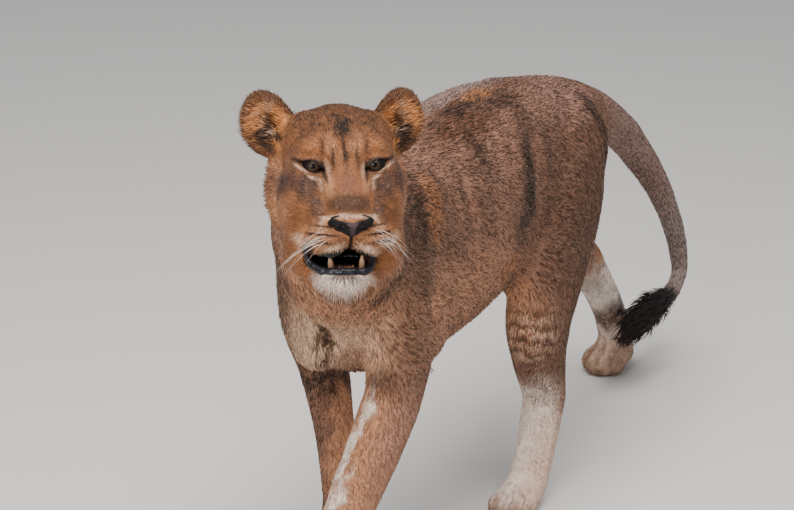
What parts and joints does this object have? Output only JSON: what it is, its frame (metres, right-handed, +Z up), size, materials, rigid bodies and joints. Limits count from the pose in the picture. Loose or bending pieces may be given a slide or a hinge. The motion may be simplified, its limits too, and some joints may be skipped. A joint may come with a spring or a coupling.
{
  "type": "lioness",
  "caption": "Life-size still model of a walking lioness, head turned to her left with the mouth a little open and the tail hanging in a curve.",
  "frame": {"origin": "on the floor under the middle of the model's box", "axes": "+Z up, the lioness walks towards -Y, and her left side is +X"},
  "size_m": [0.5504, 2.3182, 1.1473],
  "materials": {
    "coat": "short dense tawny fur",
    "dark_coat": "short grizzled brown fur",
    "tuft": "long black fur",
    "nose": "moist dark skin",
    "eye": "wet and glossy",
    "tongue": "moist",
    "tooth": "enamel"
  },
  "bodies": {
    "root": {"head": "coat", "lower_jaw": "coat", "nose": "nose", "tongue": "tongue", "canine_left": "tooth", "canine_right": "tooth", "eye_left": "eye", "eye_right": "eye", "ear_left": "coat", "ear_right": "coat", "neck": "coat", "trunk": "dark_coat", "tail_upper": "dark_coat", "tail_middle": "dark_coat", "tail_lower": "dark_coat", "tail_tuft": "tuft", "foreleg_left_upper": "coat", "foreleg_left_forearm": "coat", "foreleg_left_paw": "coat", "foreleg_right_upper": "coat", "foreleg_right_forearm": "coat", "foreleg_right_paw": "coat", "hindleg_left_thigh": "coat", "hindleg_left_shank": "coat", "hindleg_left_foot": "coat", "hindleg_right_thigh": "coat", "hindleg_right_shank": "coat", "hindleg_right_foot": "coat"}
  },
  "joints": []
}
